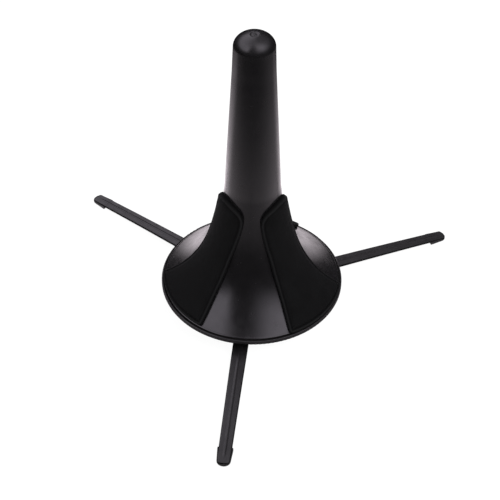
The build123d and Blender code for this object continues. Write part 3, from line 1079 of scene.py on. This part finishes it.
def look_along(forward, roll):
    """Rotation of a camera that looks along a direction, turned about it by roll."""
    back = -forward.normalized()
    right = Vector((0, 0, 1)).cross(back).normalized()
    above = back.cross(right)
    rotation = Matrix((right, above, back)).transposed()
    return rotation @ Matrix.Rotation(roll, 3, "Z")


def make_camera():
    """The camera stands a little to the right of the front leg and looks down on the stand."""
    orbit_centre, distance = Vector((0, 0, 0.080)), 0.6662
    aim = Vector((-0.0011, 0, 0.0319))
    roll = radians(0.62)
    data = bpy.data.cameras.new("camera")
    data.sensor_width = 36.0
    data.lens = 91.94
    data.clip_start = 0.01
    camera = bpy.data.objects.new("camera", data)
    camera.location = orbit_centre + direction(5.65, 40.53) * distance
    camera.rotation_mode = "QUATERNION"
    camera.rotation_quaternion = look_along(aim - camera.location, roll).to_quaternion()
    bpy.context.scene.collection.objects.link(camera)
    bpy.context.scene.camera = camera


def rest_on_lowest_foot(floor):
    """Keeps the floor under the lowest foot when the legs fold or the hub is pulled down."""
    driver = floor.driver_add("location", 2).driver
    driver.type = "SCRIPTED"
    for name, (heading, _) in leg_places.items():
        marker = bpy.data.objects.new(f"sole_{name}", None)
        marker.location = outward(heading)[0] * FOOT_END * METRES
        bpy.context.scene.collection.objects.link(marker)
        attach(marker, f"{name}_leg")
        height = driver.variables.new()
        height.name = name
        height.type = "TRANSFORMS"
        height.targets[0].id = marker
        height.targets[0].transform_type = "LOC_Z"
        height.targets[0].transform_space = "WORLD_SPACE"
    driver.expression = "min(0, " + ", ".join(leg_places) + ")"


def make_floor():
    """A plain white floor. In reflections it is a pool of light that fades away from the stand."""
    half, drop = 6.0, 0.0001
    mesh = bpy.data.meshes.new("floor")
    corners = ((-half, -half), (half, -half), (half, half), (-half, half))
    mesh.from_pydata([(x, y, -drop) for x, y in corners], [], [(0, 1, 2, 3)])
    shader = Shader("floor_white", (0.1, 0.1, 0.1), 1.0)
    surface = shader.surface
    surface.inputs["Specular IOR Level"].default_value = 0.0
    surface.inputs["Emission Color"].default_value = (1, 1, 1, 1)
    surface.inputs["Emission Strength"].default_value = 0.94

    # the pool: brightness falls off with distance, less quickly to the sides
    distance = shader.measure("LENGTH", shader.stretched((0.68, 1, 0)))
    faded = shader.node("ShaderNodeMath", operation="MULTIPLY_ADD")
    shader.link(distance, faded.inputs[0])
    faded.inputs[1].default_value = -1 / POOL_FADE
    faded.inputs[2].default_value = POOL_START / POOL_FADE
    falloff = shader.node("ShaderNodeMath", operation="EXPONENT")
    shader.link(faded.outputs[0], falloff.inputs[0])
    pool = shader.node("ShaderNodeEmission")
    pool.inputs["Color"].default_value = (1.0, 0.91, 0.97, 1)
    lit = shader.spread(falloff.outputs[0], 0.0, 1.6, 0.02, 1.9)

    # it is brighter behind the stand, ends softly all round, and has a painted shadow under the
    # stand
    behind = shader.measure("DOT_PRODUCT", shader.place, (-0.25, 0.97, 0))
    lit = shader.times(lit, shader.spread(behind, *POOL_BEHIND, 0.85, 2.1))
    lit = shader.times(lit, shader.spread(distance, *POOL_ENDS, 1.0, 0.4))
    # painted shadow: the reflected pool goes dark over the floor under the stand
    lit = shader.times(lit, shader.spread(shader.from_axis(), *POOL_UNDER, 0.03, 1.0))
    shader.link(lit, pool.inputs["Strength"])
    both = split_reflections(shader.tree, surface.outputs[0], pool.outputs[0])
    shader.link(both, shader.tree.nodes["Material Output"].inputs["Surface"])
    shader.material.cycles.emission_sampling = "NONE"
    mesh.materials.append(shader.material)
    floor = bpy.data.objects.new("floor", mesh)
    bpy.context.scene.collection.objects.link(floor)
    rest_on_lowest_foot(floor)


def make_softbox(name, azimuth, elevation, distance, size, power):
    """A soft rectangular light, placed by angles about the stand, aimed at the cone."""
    data = bpy.data.lights.new(name, "AREA")
    data.shape = "RECTANGLE"
    data.size, data.size_y = size
    data.energy = power
    light = bpy.data.objects.new(name, data)
    light.location = direction(azimuth, elevation) * distance
    light.rotation_mode = "QUATERNION"
    light.rotation_quaternion = (Vector((0, 0, 0.06)) - light.location).to_track_quat("-Z", "Y")
    light.visible_glossy = False
    bpy.context.scene.collection.objects.link(light)


def make_world():
    """Even fill for matt surfaces; in reflections, two banks of soft light over a dark room."""
    world = bpy.data.worlds.new("studio")
    world.use_nodes = True
    world.cycles.sampling_method = "NONE"
    bpy.context.scene.world = world
    tree = world.node_tree
    tree.nodes.clear()
    link = tree.links.new

    def math(operation, first, second=None):
        node = tree.nodes.new("ShaderNodeMath")
        node.operation = operation
        for value, target in ((first, node.inputs[0]), (second, node.inputs[1])):
            if isinstance(value, (int, float)):
                target.default_value = value
            elif value is not None:
                link(value, target)
        return node.outputs[0]

    def ramp(angle, low, high, to_low=0.0, to_high=1.0):
        """Eases from one value to another as an angle goes from low to high, in degrees."""
        mapped = tree.nodes.new("ShaderNodeMapRange")
        mapped.interpolation_type = "SMOOTHSTEP"
        link(angle, mapped.inputs["Value"])
        set_range(mapped, radians(low), radians(high), to_low, to_high)
        return mapped.outputs["Result"]

    def product(*values):
        total = values[0]
        for value in values[1:]:
            total = math("MULTIPLY", total, value)
        return total

    place = tree.nodes.new("ShaderNodeTexCoord")
    split = tree.nodes.new("ShaderNodeSeparateXYZ")
    link(place.outputs["Generated"], split.inputs[0])
    to_right = math("ARCTAN2", split.outputs["X"], math("MULTIPLY", split.outputs["Y"], -1.0))
    to_left = math("MULTIPLY", to_right, -1.0)
    height = math("ARCSINE", split.outputs["Z"])

    # each bank rises from the front, changes along its side, weakens behind, and has an elevation
    left_bank = product(
        ramp(to_left, 26, 38),
        ramp(to_left, 60, 120, 2.25, 1.8),
        ramp(to_left, 171, 180, 1.0, 0.33),
        ramp(height, 19, 33),
        ramp(height, 55, 78, 1.0, 0.45),
    )
    right_bank = product(
        ramp(to_right, -3, 56),
        ramp(to_right, 70, 130, 2.5, 0.45),
        ramp(to_right, 140, 172, 1.0, 0.7),
        ramp(height, 16, 50),
    )
    dark_room = 0.03
    room = math("ADD", math("ADD", left_bank, right_bank), dark_room)

    fill = tree.nodes.new("ShaderNodeBackground")
    fill.inputs["Strength"].default_value = 1.0
    fill.inputs["Color"].default_value = (1, 1, 1, 1)
    seen = tree.nodes.new("ShaderNodeBackground")
    seen.inputs["Color"].default_value = (0.985, 0.92, 1.03, 1)
    link(room, seen.inputs["Strength"])
    both = split_reflections(tree, fill.outputs[0], seen.outputs[0])
    link(both, tree.nodes.new("ShaderNodeOutputWorld").inputs["Surface"])


def make_studio():
    bpy.context.scene.view_settings.view_transform = "Standard"
    make_camera()
    make_floor()
    make_softbox("softbox_left", -70, 50, 1.5, (0.8, 1.2), 1.2)
    make_softbox("softbox_right", 65, 50, 1.5, (0.8, 1.2), 17)
    make_world()


make_cone()
make_pads()
make_legs()
finish_kept_nodes()
make_studio()
